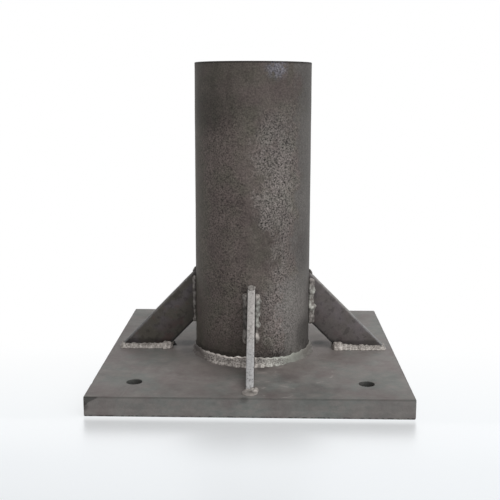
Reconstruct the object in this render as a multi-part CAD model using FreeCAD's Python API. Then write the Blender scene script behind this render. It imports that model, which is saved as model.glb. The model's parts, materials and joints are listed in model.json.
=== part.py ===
import FreeCAD, Part
import math
import os
import random

# Weld-on post base plate, in millimetres.
# +Z is up, -Y is the front, and the origin is the centre of the plate's underside.

# Base plate
PLATE_SIDE = 254.0
PLATE_THICKNESS = 16.0
PLATE_EDGE_BEVEL = 0.6
ANCHOR_HOLE_DIAMETER = 12.5
ANCHOR_HOLE_INSET = 34.0

# Post stub: a length of round tube, open at the top
POST_DIAMETER = 101.6
POST_WALL = 5.0
POST_LENGTH = 255.0
POST_RIM_CHAMFER = 0.5

# Gussets: flat bar cut by hand, mitred to the post and to the plate at about 45 degrees.
# The rise is measured up the post from the plate, the run along the plate from the post.
RIGHT_GUSSET_RISE = 71.0
RIGHT_GUSSET_RUN = 70.8
LEFT_GUSSET_RISE = 72.8
LEFT_GUSSET_RUN = 70.2
FRONT_GUSSET_RISE = 68.4
FRONT_GUSSET_RUN = 63.2
GUSSET_BAR_WIDTH = 31.75
GUSSET_THICKNESS = 6.35
GUSSET_EDGE_RADIUS = 0.8
GUSSET_EDGE_LENGTH_SLACK = 0.001

# Hand-laid welds: how the droplets overlap along every run
DROPLET_PITCH = 4.9
DROPLET_SCATTER = 0.13
DROPLET_CUSP = 0.17
DROPLET_BOW = 1.3
CROWN_BULGE = 0.9
RUN_END_LENGTH = 2.8
RUN_END_SIZE = 0.5
BURIED_DEPTH = 1.2

# Ring weld round the foot of the post
RING_LEG_ON_PLATE = 8.0
RING_LEG_ON_POST = 7.5
RING_DROPLET_PITCH = 6.2

# Upright welds between a gusset's sides and the post
UPRIGHT_LEG_ON_GUSSET = 5.4
UPRIGHT_LEG_ON_POST = 5.2
UPRIGHT_START_BELOW_BAR = 3.0
UPRIGHT_STOP_BELOW_TIP = 5.0

# Foot welds between the side gussets and the plate
FOOT_LEG_ON_PLATE = 5.8
FOOT_LEG_ON_GUSSET = 4.6
FOOT_START_INSIDE_BAR = 4.5
FOOT_STOP_BEFORE_TOE = 0.8

# Tip welds, a short bead across the top of each gusset
TIP_LEG_ON_POST = 2.2
TIP_LEG_ON_GUSSET = 5.4
TIP_OVERHANG = 0.8

# Toe welds, three merged drops round the toes of the front and back gussets
TOE_PUDDLE_RADIUS = 7.2
TOE_PUDDLE_HEIGHT = 1.9
TOE_PUDDLE_BEYOND_BAR = 2.2
TOE_DROP_RADIUS = 4.2
TOE_DROP_HEIGHT = 4.0
TOE_DROP_SETBACK = 2.2
TOE_DROP_ASIDE = 3.4
TOE_SMALL_DROP_RADIUS = 3.0
TOE_SMALL_DROP_HEIGHT = 2.9
TOE_SMALL_DROP_SETBACK = 1.2
TOE_SMALL_DROP_ASIDE = 2.0

POST_RADIUS = POST_DIAMETER / 2
HALF_GUSSET = GUSSET_THICKNESS / 2

# How far across the crown each point of a section lies, from the first leg's toe to the second's
CROWN_SHARES = (0.0, 0.22, 0.5, 0.8)
TOE_SHARE = 1.0
SUNK_TOE_SHARE = 1.12
STATIONS_PER_DROPLET = 3

# Facets round a drop, and levels up it
DROP_SIDES = 14
DROP_STEPS = 4

# Each gusset's turn about Z from +X, its rise and run, and the names of its sides
GUSSETS = {
    "right": (0, RIGHT_GUSSET_RISE, RIGHT_GUSSET_RUN, "front", "back"),
    "back": (90, FRONT_GUSSET_RISE, FRONT_GUSSET_RUN, "right", "left"),
    "left": (180, LEFT_GUSSET_RISE, LEFT_GUSSET_RUN, "back", "front"),
    "front": (270, FRONT_GUSSET_RISE, FRONT_GUSSET_RUN, "left", "right"),
}

# How much wider or narrower than the rest an upright weld lies on its gusset
UPRIGHT_WIDTH = {"right_front": 1.2, "left_front": 0.72, "front_left": 0.8}

# Droplets that came out fatter or thinner than the rest, by their share of the way along a run
UPRIGHT_SWELL = {
    "front_right": ((0.25, 0.62), (0.45, 0.66), (0.75, 1.15), (0.85, 1.2)),
    "left_front": ((0.15, 0.6), (0.25, 0.75)),
    "right_front": ((0.35, 1.15), (0.65, 0.8)),
}
FOOT_SWELL = ((0.0, 1.2), (0.12, 1.26))

X_AXIS = FreeCAD.Vector(1, 0, 0)
Y_AXIS = FreeCAD.Vector(0, 1, 0)
Z_AXIS = FreeCAD.Vector(0, 0, 1)


def anchor_hole_centres():
    """The four corners of the square that the anchor holes stand on."""
    reach = PLATE_SIDE / 2 - ANCHOR_HOLE_INSET
    return [(x * reach, y * reach) for x in (-1, 1) for y in (-1, 1)]


def make_base_plate():
    """Square plate with bevelled arrises and four drilled anchor holes."""
    corner = FreeCAD.Vector(-PLATE_SIDE / 2, -PLATE_SIDE / 2, 0)
    plate = Part.makeBox(PLATE_SIDE, PLATE_SIDE, PLATE_THICKNESS, corner)
    plate = plate.makeChamfer(PLATE_EDGE_BEVEL, plate.Edges)
    for x, y in anchor_hole_centres():
        drill = Part.makeCylinder(ANCHOR_HOLE_DIAMETER / 2, PLATE_THICKNESS, FreeCAD.Vector(x, y, 0))
        plate = plate.cut(drill)
    return plate


def make_post_tube():
    """Round tube standing on the plate, its wall profile turned about Z."""
    inner = POST_RADIUS - POST_WALL
    foot = PLATE_THICKNESS
    rim = PLATE_THICKNESS + POST_LENGTH
    profile = Part.makePolygon([
        FreeCAD.Vector(inner, 0, foot),
        FreeCAD.Vector(POST_RADIUS, 0, foot),
        FreeCAD.Vector(POST_RADIUS, 0, rim - POST_RIM_CHAMFER),
        FreeCAD.Vector(POST_RADIUS - POST_RIM_CHAMFER, 0, rim),
        FreeCAD.Vector(inner + POST_RIM_CHAMFER, 0, rim),
        FreeCAD.Vector(inner, 0, rim - POST_RIM_CHAMFER),
        FreeCAD.Vector(inner, 0, foot),
    ])
    return Part.Face(profile).revolve(FreeCAD.Vector(), Z_AXIS, 360)


def height_on_post(rise, run):
    """How much of the post's height a bar's mitred upper end covers."""
    return GUSSET_BAR_WIDTH / math.cos(math.atan2(rise, run))


def length_on_plate(rise, run):
    """How much of the plate's width a bar's mitred foot covers."""
    return GUSSET_BAR_WIDTH / math.sin(math.atan2(rise, run))


def make_gusset(rise, run):
    """Flat bar with rounded edges, sloping from the post down to the plate on the +X side."""
    slope = math.atan2(rise, run)
    length = 2 * (rise + run)
    bar = Part.makeBox(
        length, GUSSET_THICKNESS, GUSSET_BAR_WIDTH,
        FreeCAD.Vector(-length / 2, -HALF_GUSSET, -GUSSET_BAR_WIDTH))
    long_edges = [edge for edge in bar.Edges if abs(edge.Length - length) < GUSSET_EDGE_LENGTH_SLACK]
    bar = bar.makeFillet(GUSSET_EDGE_RADIUS, long_edges)
    bar.rotate(FreeCAD.Vector(), Y_AXIS, math.degrees(slope))
    bar.translate(FreeCAD.Vector(POST_RADIUS + run / 2, 0, PLATE_THICKNESS + rise / 2))
    corner = FreeCAD.Vector(POST_RADIUS, -GUSSET_THICKNESS, PLATE_THICKNESS)
    return bar.common(Part.makeBox(length, 2 * GUSSET_THICKNESS, length, corner))


def make_post_core():
    """The whole cylinder inside the post's outer face, used to trim the welds."""
    return Part.makeCylinder(POST_RADIUS, POST_LENGTH, FreeCAD.Vector(0, 0, PLATE_THICKNESS))


class Droplets:
    """Relative sizes of the droplets along one run, as an unsteady hand leaves them."""

    def __init__(self, length, pitch, seed, swell=()):
        hand = random.Random(seed)
        self.count = max(3, round(length / pitch))
        self.pitch = length / self.count
        self.sizes = [1 + DROPLET_SCATTER * hand.uniform(-1, 1) for _ in range(self.count)]
        for share, factor in swell:
            self.sizes[int(share * self.count)] *= factor

    def stations(self):
        """Distances along the run at which a section is drawn."""
        steps = self.count * STATIONS_PER_DROPLET
        return [self.pitch * step / STATIONS_PER_DROPLET for step in range(steps + 1)]

    def size_at(self, distance, share, ring):
        """Size of the section there: each droplet domes up and its edge bows along the run."""
        bowed = distance + DROPLET_BOW * 4 * share * (1 - share)
        index = math.floor(bowed / self.pitch)
        across = 2 * (bowed / self.pitch - index) - 1
        size = self.sizes[index % self.count if ring else min(max(index, 0), self.count - 1)]
        return size * (1 - DROPLET_CUSP * across * across)


def end_taper(distance, length):
    """Share of the full size left near a run's start or stop, rounded like a quarter circle."""
    inward = max(0.0, min(distance, length - distance)) / RUN_END_LENGTH
    if inward >= 1:
        return 1.0
    return RUN_END_SIZE + (1 - RUN_END_SIZE) * math.sqrt(inward * (2 - inward))


def bead_section(frame, legs, shares, sizes, buried):
    """Closed outline of one section: toe to toe over the convex crown, then behind the corner."""
    root, along_first, along_second = frame
    first_leg, second_leg = legs
    lean = (along_first * second_leg + along_second * first_leg).normalize()
    outline = []
    for share, size in zip(shares, sizes):
        chord = along_first * (first_leg * (1 - share)) + along_second * (second_leg * share)
        bulge = lean * (CROWN_BULGE * 4 * share * (1 - share))
        outline.append(root + (chord + bulge) * size)
    if buried:
        outline.append(outline[-1] - along_first * BURIED_DEPTH)
        outline.append(root - along_first * BURIED_DEPTH)
    else:
        outline.append(root)
    return outline


def skin(sections, ring):
    """Solid with flat facets through a row of closed sections."""
    pairs = list(zip(sections, sections[1:]))
    if ring:
        pairs.append((sections[-1], sections[0]))
    facets = []
    for near, far in pairs:
        for index in range(len(near)):
            nxt = (index + 1) % len(near)
            facets.append((near[index], far[index], far[nxt]))
            facets.append((near[index], far[nxt], near[nxt]))
    faces = [Part.Face(Part.makePolygon([a, b, c, a])) for a, b, c in facets]
    if not ring:
        faces += [Part.Face(Part.makePolygon(end + end[:1])) for end in (sections[0], sections[-1])]
    shell = Part.makeShell(faces)
    shell.sewShape()
    solid = Part.makeSolid(shell)
    if solid.Volume < 0:
        solid.reverse()
    return solid.removeSplitter()


def lay_bead(frame_at, length, legs, droplets, buried=False, ring=False):
    """A hand-laid run; frame_at gives the corner and its two directions at a distance along.

    A buried run reaches a little into the post, so that trimming it there leaves a clean seat.
    """
    distances = droplets.stations()
    if ring:
        distances = distances[:-1]
    shares = CROWN_SHARES + (SUNK_TOE_SHARE if buried else TOE_SHARE,)
    sections = []
    for distance in distances:
        taper = 1.0 if ring else end_taper(distance, length)
        sizes = [taper * droplets.size_at(distance, share, ring) for share in shares]
        sections.append(bead_section(frame_at(distance), legs, shares, sizes, buried))
    return skin(sections, ring)


def make_ring_weld():
    """Fillet weld all round the foot of the post, running on under the gussets."""
    length = 2 * math.pi * POST_RADIUS
    droplets = Droplets(length, RING_DROPLET_PITCH, seed=11)

    def frame_at(distance):
        angle = distance / POST_RADIUS
        outward = FreeCAD.Vector(math.cos(angle), math.sin(angle), 0)
        return outward * POST_RADIUS + Z_AXIS * PLATE_THICKNESS, outward, Z_AXIS

    legs = (RING_LEG_ON_PLATE, RING_LEG_ON_POST)
    return lay_bead(frame_at, length, legs, droplets, buried=True, ring=True).cut(make_post_core())


def make_upright_weld(rise, run, side, seed, spot):
    """Weld up the corner between the post and one side of the +X gusset."""
    start = PLATE_THICKNESS + rise - height_on_post(rise, run) - UPRIGHT_START_BELOW_BAR
    length = PLATE_THICKNESS + rise - UPRIGHT_STOP_BELOW_TIP - start
    corner_angle = math.asin(HALF_GUSSET / POST_RADIUS)
    toe_angle = corner_angle + UPRIGHT_LEG_ON_POST / POST_RADIUS
    corner = FreeCAD.Vector(POST_RADIUS * math.cos(corner_angle), side * HALF_GUSSET, start)
    toe = FreeCAD.Vector(
        POST_RADIUS * math.cos(toe_angle), side * POST_RADIUS * math.sin(toe_angle), start)
    along_post = (toe - corner).normalize()

    def frame_at(distance):
        return corner + Z_AXIS * distance, X_AXIS, along_post

    legs = (UPRIGHT_LEG_ON_GUSSET * UPRIGHT_WIDTH.get(spot, 1.0), UPRIGHT_LEG_ON_POST)
    droplets = Droplets(length, DROPLET_PITCH, seed, UPRIGHT_SWELL.get(spot, ()))
    return lay_bead(frame_at, length, legs, droplets, buried=True).cut(make_post_core())


def make_foot_weld(rise, run, side, seed):
    """Weld along the plate on one side of the +X gusset, from inside the bar out to its toe."""
    start = POST_RADIUS + run - length_on_plate(rise, run) - FOOT_START_INSIDE_BAR
    length = POST_RADIUS + run - FOOT_STOP_BEFORE_TOE - start
    corner = FreeCAD.Vector(start, side * HALF_GUSSET, PLATE_THICKNESS)

    def frame_at(distance):
        return corner + X_AXIS * distance, Y_AXIS * side, Z_AXIS

    legs = (FOOT_LEG_ON_PLATE, FOOT_LEG_ON_GUSSET)
    return lay_bead(frame_at, length, legs, Droplets(length, DROPLET_PITCH, seed, FOOT_SWELL))


def make_tip_weld(rise, run, seed):
    """Short bead on the post across the top of the +X gusset, lapping down its sloping edge."""
    length = GUSSET_THICKNESS + 2 * TIP_OVERHANG
    corner = FreeCAD.Vector(POST_RADIUS, -length / 2, PLATE_THICKNESS + rise)
    down_slope = (X_AXIS * run - Z_AXIS * rise).normalize()

    def frame_at(distance):
        return corner + Y_AXIS * distance, down_slope, Z_AXIS

    legs = (TIP_LEG_ON_GUSSET, TIP_LEG_ON_POST)
    bead = lay_bead(frame_at, length, legs, Droplets(length, DROPLET_PITCH, seed), buried=True)
    return bead.cut(make_post_core()).cut(make_gusset(rise, run))


def make_drop(reach, sideways, radius, height):
    """Domed drop of weld metal lying on the plate."""
    rounds = []
    for step in range(DROP_STEPS):
        climb = math.pi / 2 * step / DROP_STEPS
        middle = FreeCAD.Vector(reach, sideways, PLATE_THICKNESS + height * math.sin(climb))
        spread = radius * math.cos(climb)
        angles = [2 * math.pi * side / DROP_SIDES for side in range(DROP_SIDES)]
        rounds.append([
            middle + X_AXIS * (spread * math.cos(angle)) + Y_AXIS * (spread * math.sin(angle))
            for angle in angles])
    return skin(rounds, ring=False)


def make_toe_weld(rise, run):
    """Flat puddle round the toe of the +X gusset, with two drops that lap over the bar's end."""
    toe = POST_RADIUS + run
    puddle = make_drop(toe + TOE_PUDDLE_BEYOND_BAR, 0, TOE_PUDDLE_RADIUS, TOE_PUDDLE_HEIGHT)
    drop = make_drop(toe - TOE_DROP_SETBACK, TOE_DROP_ASIDE, TOE_DROP_RADIUS, TOE_DROP_HEIGHT)
    small_drop = make_drop(
        toe - TOE_SMALL_DROP_SETBACK, -TOE_SMALL_DROP_ASIDE, TOE_SMALL_DROP_RADIUS,
        TOE_SMALL_DROP_HEIGHT)
    return puddle.fuse([drop, small_drop]).cut(make_gusset(rise, run))


def place_round_post(shape, turn):
    """Copy of a piece made on the +X side, turned to where it stands round the post."""
    placed = shape.copy()
    placed.rotate(FreeCAD.Vector(), Z_AXIS, turn)
    return placed


def make_gusset_set(name, turn, rise, run, first_side, second_side):
    """One gusset with every weld that holds it, named for where they are."""
    pieces = {
        f"gusset_{name}": make_gusset(rise, run),
        f"tip_weld_{name}": make_tip_weld(rise, run, seed=turn + 3),
    }
    for side, side_name in ((-1, first_side), (1, second_side)):
        spot = f"{name}_{side_name}"
        pieces[f"upright_weld_{spot}"] = make_upright_weld(rise, run, side, turn + 10 + side, spot)
        if name in ("left", "right"):
            pieces[f"foot_weld_{spot}"] = make_foot_weld(rise, run, side, turn + 20 + side)
    if name in ("front", "back"):
        pieces[f"toe_weld_{name}"] = make_toe_weld(rise, run)
    return {node: place_round_post(piece, turn) for node, piece in pieces.items()}


def make_all():
    """Every piece of the base plate by name."""
    pieces = {
        "base_plate": make_base_plate(),
        "post_tube": make_post_tube(),
        "ring_weld": make_ring_weld(),
    }
    for name, placing in GUSSETS.items():
        pieces.update(make_gusset_set(name, *placing))
    return pieces


if __name__ == "__main__":
    os.makedirs("parts", exist_ok=True)
    for node, piece in make_all().items():
        piece.exportStep(f"parts/{node}.step")
        print(node, len(piece.Solids), round(piece.Volume, 1))
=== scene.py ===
import json
import math

import bmesh
import bpy
from mathutils import Matrix, Vector, noise


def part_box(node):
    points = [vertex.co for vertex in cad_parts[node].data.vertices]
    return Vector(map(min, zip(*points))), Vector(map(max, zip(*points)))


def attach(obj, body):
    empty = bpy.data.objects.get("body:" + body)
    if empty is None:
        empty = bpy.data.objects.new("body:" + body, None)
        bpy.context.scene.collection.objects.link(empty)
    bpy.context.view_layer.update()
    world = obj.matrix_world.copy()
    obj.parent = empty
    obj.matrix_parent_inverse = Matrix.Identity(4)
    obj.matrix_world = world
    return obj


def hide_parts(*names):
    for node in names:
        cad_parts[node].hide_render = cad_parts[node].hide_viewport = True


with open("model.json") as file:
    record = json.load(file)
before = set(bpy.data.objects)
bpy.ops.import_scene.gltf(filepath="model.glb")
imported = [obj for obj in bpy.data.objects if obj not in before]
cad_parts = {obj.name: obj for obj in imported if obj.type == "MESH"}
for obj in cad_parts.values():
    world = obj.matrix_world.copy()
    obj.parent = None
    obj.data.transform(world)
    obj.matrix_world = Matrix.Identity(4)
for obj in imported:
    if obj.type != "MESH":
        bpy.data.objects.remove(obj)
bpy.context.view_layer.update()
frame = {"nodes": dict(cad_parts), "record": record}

bl_info = {
    "name": "Weld-on Post Base Plate",
    "version": (1, 0, 0),
    "blender": (4, 5, 0),
    "location": "3D View > Sidebar > Base Plate",
    "description": "Builds a square steel base plate with a welded post stub, four gussets and their welds",
    "category": "Add Mesh",
}

MM = 0.001
UP = Vector((0, 0, 1))
QUARTER = math.radians(90)
SHARP_ANGLE = math.radians(40)


def steel_tone(red, green, blue):
    """Linear colour from the 0 to 255 numbers that a screen shows."""
    shares = (level / 255 for level in (red, green, blue))
    return tuple(s / 12.92 if s <= 0.04045 else ((s + 0.055) / 1.055) ** 2.4 for s in shares)


# Sizes that come with the frame
PLATE_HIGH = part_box("base_plate")[1]
POST_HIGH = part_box("post_tube")[1]
PLATE_TOP = PLATE_HIGH.z
PLATE_HALF = PLATE_HIGH.x
POST_RADIUS = POST_HIGH.x
POST_RIM = POST_HIGH.z
MOUNTS = {mount["name"]: mount for mount in frame["record"]["mounts"]}
BORE_RADIUS = MOUNTS["post_bore"]["dims"]["r_mm"] * MM
HOLE_RADIUS = MOUNTS["anchor_holes"]["dims"]["hole_r_mm"] * MM
HOLE_REACH = MOUNTS["anchor_holes"]["dims"]["spacing_x_mm"] * MM / 2

# Each gusset's turn about Z from +X, in degrees
GUSSET_TURNS = {"right": 0, "back": 90, "left": 180, "front": 270}


# Settings


def tone(label, description, *levels):
    """Colour property whose default is given as the 0 to 255 numbers that a screen shows."""
    return bpy.props.FloatVectorProperty(
        name=label, description=description, subtype="COLOR", min=0, max=1, default=steel_tone(*levels))


def length(label, description, default, low, high):
    """Length property; its default and limits are given in millimetres."""
    return bpy.props.FloatProperty(
        name=label, description=description, unit="LENGTH", min=low * MM, max=high * MM,
        default=default * MM)


class PlateSettings(bpy.types.PropertyGroup):
    """Finish of the square plate."""

    colour: tone("Scale colour", "Mill scale on the plate, in its plain grey parts", 112, 108, 105)
    warm_colour: tone("Warm clouds", "Brown and purple clouds in the scale", 114, 107, 105)
    heat_colour: tone("Heated scale", "Brown scale round the foot of the tube", 114, 107, 103)
    cool_colour: tone("Cool clouds", "Greenish clouds in the scale", 108, 109, 106)
    edge_round: length("Arris radius", "Rounding of the plate's sheared edges", 0.8, 0.2, 2)
    edge_wear: length("Edge wear", "Depth of the nicks and waves in the sheared edges", 0.45, 0, 1)


class PostSettings(bpy.types.PropertyGroup):
    """Finish of the round tube."""

    colour: tone("Scale colour", "Mill scale in its plain grey-brown parts", 86, 79, 75)
    warm_colour: tone("Warm clouds", "Purple-brown clouds on the tube", 88, 79, 76)
    cool_colour: tone("Cool clouds", "Olive clouds on the tube", 83, 79, 72)
    grey_colour: tone("Grey patches", "Neutral grey at the sides and in grainy patches", 84, 82, 80)
    lilac_colour: tone("Lilac scale", "Cooler scale in the pale spot under the rim", 92, 91, 97)
    dent: length("Unevenness", "Depth of the soft waves in the tube's wall", 0.12, 0, 1)


class GussetSettings(bpy.types.PropertyGroup):
    """Finish and width of the flat bars."""

    colour: tone("Face colour", "Dark scale on the wide faces of a bar", 84, 79, 80)
    olive_colour: tone("Olive colour", "Olive-brown clouds in the scale", 81, 77, 70)
    rust_colour: tone("Rust colour", "Dark rust towards a bar's inner edge", 78, 66, 62)
    edge_colour: tone("Edge colour", "Pale grainy metal on a bar's narrow edges", 158, 154, 151)
    low_edge_colour: tone("Low edge colour", "Cooler grey low on the narrow edges", 154, 153, 153)
    edge_round: length("Edge radius", "Rounding of a bar's long edges", 0.8, 0.2, 2)
    width: length("Bar width", "Width of the flat bar, from edge to edge", 31.75, 10, 60)


class WeldSettings(bpy.types.PropertyGroup):
    """Shape of the skin and finish of the welds."""

    colour: tone("Weld colour", "Clean weld metal on the tops of the grains", 188, 181, 175)
    cool_colour: tone("Cool weld colour", "Greenish sheen on part of the metal", 176, 182, 174)
    pit_colour: tone("Pit colour", "Slag and soot between the grains", 98, 92, 88)
    brown_colour: tone("Left plain colour", "Smooth part of the ring weld, left", 93, 87, 84)
    grey_colour: tone("Right plain colour", "Smooth part of the ring weld, right", 122, 123, 116)
    mesh_step: length("Mesh step", "Size of the faces of a weld", 0.36, 0.2, 2)
    grain_size: length("Grain size", "Distance between the grains of an average weld", 1, 0.3, 5)
    grain_height: length("Grain height", "How far the tallest grains would stand out", 1, 0, 2)
    inner_rise: length("Inner rise", "How much higher the foot runs end by the tube", 1.6, 0, 4)
    swell: length("Swell", "How far the skin is moved out, so that it runs into the steel", 0.22, 0, 1)
    rough_from: bpy.props.FloatProperty(
        name="Rough from", description="Left end of the grainy part of the ring weld, from its middle",
        subtype="ANGLE", min=-math.pi, max=0, default=math.radians(-47))
    rough_to: bpy.props.FloatProperty(
        name="Rough to", description="Right end of the grainy part of the ring weld, from its middle",
        subtype="ANGLE", min=0, max=math.pi, default=math.radians(26))


class StageSettings(bpy.types.PropertyGroup):
    """Floor and light."""

    floor_colour: tone("Floor colour", "Pale floor in front of the plate", 244, 247, 250)
    soft_light: bpy.props.FloatProperty(
        name="Soft light", description="Strength of the even light from all round", min=0, max=2, default=0.4)
    key_power: bpy.props.FloatProperty(
        name="Key light", description="Power of the large lamp at the upper front right",
        subtype="POWER", min=0, max=200, default=48)


# Wiring of node trees


class Wire:
    """An output socket in a node tree; arithmetic on it adds Math nodes."""

    def __init__(self, graph, socket):
        self.graph = graph
        self.socket = socket

    def math(self, operation, *values):
        """Result of a Math node; this value takes part only if it is one of the values."""
        return self.graph.wire("ShaderNodeMath", {"operation": operation}, dict(enumerate(values)))

    def __add__(self, other):
        return self.math("ADD", self, other)

    __radd__ = __add__

    def __sub__(self, other):
        return self.math("SUBTRACT", self, other)

    def __rsub__(self, other):
        return self.math("SUBTRACT", other, self)

    def __mul__(self, other):
        return self.math("MULTIPLY", self, other)

    __rmul__ = __mul__

    def __truediv__(self, other):
        return self.math("DIVIDE", self, other)

    def __rtruediv__(self, other):
        return self.math("DIVIDE", other, self)

    def __pow__(self, other):
        return self.math("POWER", self, other)

    def __abs__(self):
        return self.math("ABSOLUTE", self)

    def upper(self, other):
        """The larger of this and another value."""
        return self.math("MAXIMUM", self, other)

    def lower(self, other):
        """The smaller of this and another value."""
        return self.math("MINIMUM", self, other)

    def fade(self, start, stop):
        """0 up to start and 1 from stop on, with a smooth step between; start may be the larger."""
        return self.graph.wire(
            "ShaderNodeMapRange", {"interpolation_type": "SMOOTHSTEP"},
            {"Value": self, "From Min": start, "From Max": stop})

    def swing(self, amount):
        """How far a noise is from its middle value, times an amount."""
        return (self - 0.5) * amount

    def lighter(self, share, amount):
        """This brightness, raised by an amount where the share is 1."""
        return self * (1 + share * amount)

    def darker(self, share, amount):
        """This brightness, lowered by an amount where the share is 1."""
        return self * (1 - share * amount)

    def scaled(self, factor):
        """A colour or vector times a number."""
        return self.graph.wire(
            "ShaderNodeVectorMath", {"operation": "SCALE"}, {"Vector": self, "Scale": factor})

    def parts(self):
        """The three numbers of a vector."""
        split = self.graph.node("ShaderNodeSeparateXYZ", {}, {"Vector": self})
        return [Wire(self.graph, socket) for socket in split.outputs]

    def within(self, low, high, soft):
        """1 between low and high, with borders that are twice soft wide."""
        return self.fade(low - soft, low + soft) * self.fade(high + soft, high - soft)

    def bearing(self, other):
        """Angle in degrees whose tangent is this over another value, from -180 to 180."""
        return self.math("ARCTAN2", self, other) * (180 / math.pi)


class Graph:
    """A node tree that is being wired."""

    def __init__(self, tree):
        self.tree = tree

    def node(self, kind, settings, inputs):
        """Adds a node: its settings first, then its sockets by number or identifier."""
        made = self.tree.nodes.new(kind)
        for name, value in settings.items():
            setattr(made, name, value)
        for key, value in inputs.items():
            socket = self.socket(made.inputs, key)
            if isinstance(value, Wire):
                self.tree.links.new(value.socket, socket)
            elif isinstance(value, tuple) and len(socket.default_value) == 4:
                socket.default_value = (*value, 1)[:4]
            else:
                socket.default_value = value
        return made

    def wire(self, kind, settings, inputs, output=0):
        """The output of a new node."""
        made = self.node(kind, settings, inputs)
        return Wire(self, self.socket(made.outputs, output))

    @staticmethod
    def socket(sockets, key):
        """The socket with a number or an identifier."""
        if isinstance(key, int):
            return sockets[key]
        return next(socket for socket in sockets if socket.identifier == key)

    def blend(self, share, first, second):
        """Colour that is the first at share 0 and the second at share 1."""
        return self.wire(
            "ShaderNodeMix", {"data_type": "RGBA"},
            {"Factor_Float": share, "A_Color": first, "B_Color": second}, "Result_Color")

    def clouds(self, place, size, detail, seed, stretch=None):
        """Noise round 0.5 whose clouds are about size across, in the units of place."""
        if stretch:
            place = self.wire("ShaderNodeVectorMath", {"operation": "MULTIPLY"}, {0: place, 1: stretch})
        return self.wire(
            "ShaderNodeTexNoise", {"noise_dimensions": "4D"},
            {"Vector": place, "W": seed, "Scale": 1 / size, "Detail": detail})

    def layers(self, place, *kinds):
        """One noise for each kind: its size, detail, seed and, where it has one, stretch."""
        return [self.clouds(place, *kind) for kind in kinds]

    def distance(self, place, centre):
        """How far place is from a point."""
        return self.wire("ShaderNodeVectorMath", {"operation": "DISTANCE"}, {0: place, 1: centre}, "Value")


def start_material(name):
    """A new material's graph, its surface shader and Object coordinates in millimetres."""
    material = bpy.data.materials.new(name)
    material.use_nodes = True
    graph = Graph(material.node_tree)
    surface = material.node_tree.nodes["Principled BSDF"]
    coordinates = graph.wire("ShaderNodeTexCoord", {}, {}, "Object")
    return material, graph, surface, coordinates.scaled(1000)


def finish_surface(graph, surface, colour, roughness, height, depth, metallic, specular):
    """Links a finish to the surface shader; depth is the height of the bumps in millimetres."""
    bump = graph.wire("ShaderNodeBump", {}, {"Strength": 1.0, "Distance": depth * MM, "Height": height})
    links = graph.tree.links
    links.new(colour.socket, surface.inputs["Base Color"])
    links.new(roughness.socket, surface.inputs["Roughness"])
    links.new(bump.socket, surface.inputs["Normal"])
    surface.inputs["Metallic"].default_value = metallic
    surface.inputs["Specular IOR Level"].default_value = specular


# Finishes


def add_marks(graph, place, light, cloud, marks, wander, core):
    """Brightness with marks, which are full within a core share of their reach; wander bends them."""
    for *centre, reach, factor in marks:
        near = graph.distance(place, tuple(centre)) + cloud.swing(reach) * wander
        light = light.lighter(near.fade(reach, reach * core), factor - 1)
    return light


# Marks on the plate: centre in millimetres, reach, and how much lighter or darker the middle is. Most are
# stains in the scale, but some paint shade on the plate behind the inner ends of the left and right bars, and
# some paint light to the left of the front bar, against the shadow it casts there
PLATE_MARKS = (
    (-127, -127, 8, 5, 0.6), (-4, -127, 15, 5, 0.6), (-63, 8, 16, 15, 0.42),
    (-60, 9, 16, 9, 0.3), (61, 13, 16, 9, 0.3), (-56, -12, 16, 12, 0.6),
    (-50, -24, 16, 12, 0.84), (64, 10, 16, 16, 0.44), (-28, -80, 16, 30, 1.14),
    (-9, -98, 16, 16, 1.32), (-8, -80, 16, 10, 1.26), (9, -62, 16, 8, 0.66),
    (18, -118, 16, 16, 0.86), (60, 32, 16, 16, 0.85), (20, -98, 16, 7, 1.14),
    (60, -88, 16, 12, 1.1), (-60, -88, 16, 16, 1.08), (28, -84, 16, 16, 0.86),
    (54, -86, 16, 14, 0.9), (-62, -106, 16, 14, 0.9), (-112, -80, 16, 14, 0.92),
    (48, -112, 16, 24, 0.86), (60, -104, 16, 16, 0.88), (100, -40, 16, 40, 1.08),
    (-72, -70, 16, 30, 1.1), (-50, -50, 16, 26, 1.12), (70, -60, 16, 24, 1.08),
)

# Pale arcs left by the grinder: centre in millimetres and radius
PLATE_ARCS = (((22, -112, 16), 13.5), ((44, -70, 16), 24), ((10, -80, 16), 11))


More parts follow.
